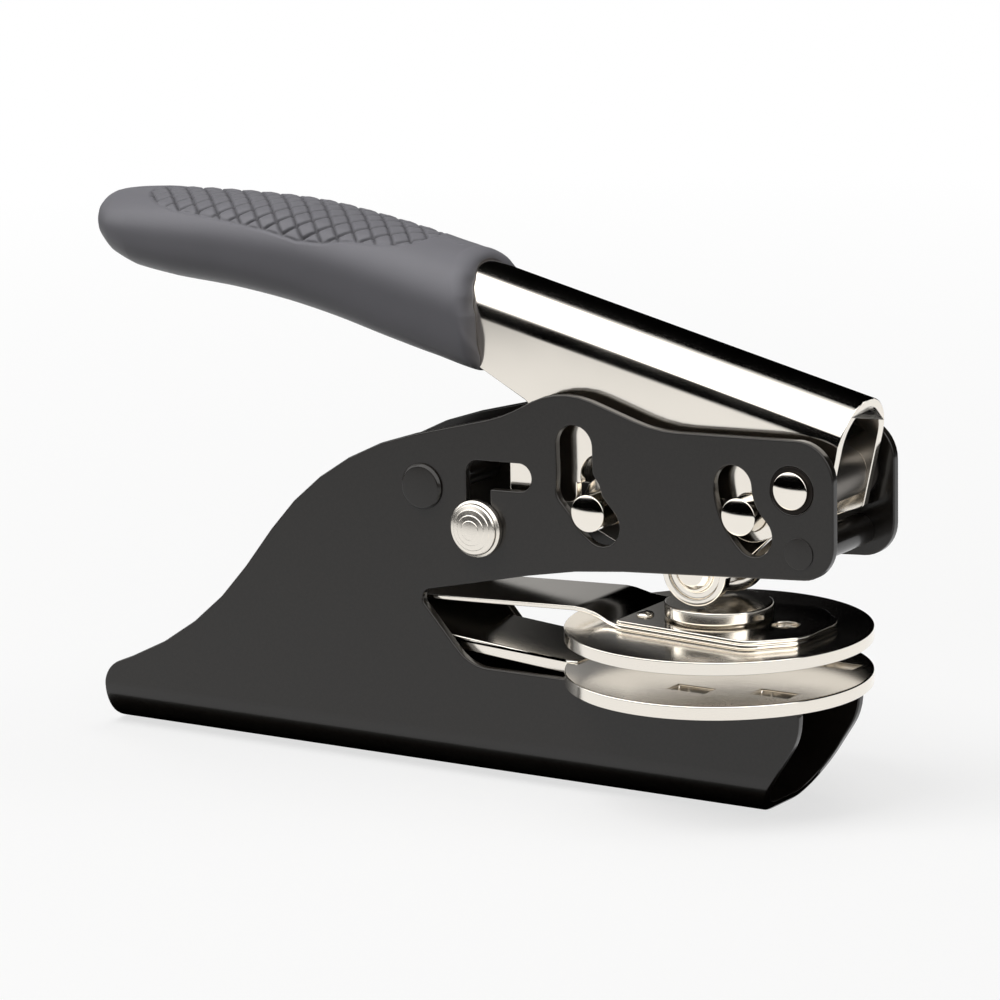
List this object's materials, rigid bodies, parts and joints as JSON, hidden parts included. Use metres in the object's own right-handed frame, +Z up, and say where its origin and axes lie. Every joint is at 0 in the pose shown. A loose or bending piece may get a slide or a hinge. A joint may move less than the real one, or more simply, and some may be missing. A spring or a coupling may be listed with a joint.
{
  "type": "seal embosser",
  "caption": "Hand-held desk seal embosser with a folded steel frame, rubber-gripped channel handle, slotted press lever and round die plates.",
  "frame": {"origin": "on the resting surface, under the centre of the round die plates", "axes": "+X towards the open front, +Y across towards the far side plate, +Z up"},
  "size_m": [0.1504, 0.051, 0.0938],
  "materials": {
    "frame_paint": "satin",
    "nickel": "polished",
    "dark_steel": "satin",
    "grip_rubber": "matte"
  },
  "bodies": {
    "frame_body": {"frame": "frame_paint", "rear_spacer": "frame_paint", "front_spacer": "frame_paint", "clip_seat": "frame_paint", "pivot_pin": "nickel", "pivot_bushes": "dark_steel", "pivot_washers": "dark_steel", "lower_plate": "nickel", "clip_spacer": "dark_steel", "clip_rivet": "dark_steel"},
    "handle_body": {"handle": "nickel", "grip": "grip_rubber", "pivot_sleeve": "dark_steel"},
    "lever_body": {"drive_pin": "nickel", "lever_plate_near": "nickel", "lever_plate_far": "nickel", "lever_spacers": "dark_steel", "lever_washers": "dark_steel", "fulcrum_pin": "nickel", "roller_axle": "nickel"},
    "roller_body": {"rollers": "nickel"},
    "die_arm_body": {"upper_strip": "nickel", "upper_leaf": "nickel", "upper_plate": "nickel", "press_button": "nickel", "leaf_rivet": "nickel"},
    "latch_body": {"latch_pin": "nickel", "latch_knob": "nickel", "latch_collars": "dark_steel"}
  },
  "joints": [
    {"name": "handle_press", "type": "hinge", "parent": "frame_body", "child": "handle_body", "pos_m": [0.02, 0, 0.0559], "axis": [0, -1, 0], "range_deg": [-24, 9], "stiffness_Nm_per_rad": 12},
    {"name": "lever_swing", "type": "hinge", "parent": "handle_body", "child": "lever_body", "pos_m": [0.0104, 0, 0.0506], "axis": [0, -1, 0], "range_deg": [-10.2, 26.8]},
    {"name": "roller_spin", "type": "hinge", "parent": "lever_body", "child": "roller_body", "pos_m": [-0.0007, 0, 0.0395], "axis": [0, 1, 0], "continuous": true},
    {"name": "die_arm", "type": "hinge", "parent": "frame_body", "child": "die_arm_body", "pos_m": [-0.084, 0, 0.02785], "axis": [0, 1, 0], "range_deg": [-2.35, 0.9]},
    {"name": "latch_slide", "type": "slide", "parent": "frame_body", "child": "latch_body", "axis": [0, 0, 1], "range_m": [0, 0.0085]}
  ],
  "couplings": [
    {"joint": "lever_swing", "follows": "handle_press", "ratio": -1.105},
    {"joint": "die_arm", "follows": "handle_press", "ratio": 0.0955}
  ]
}
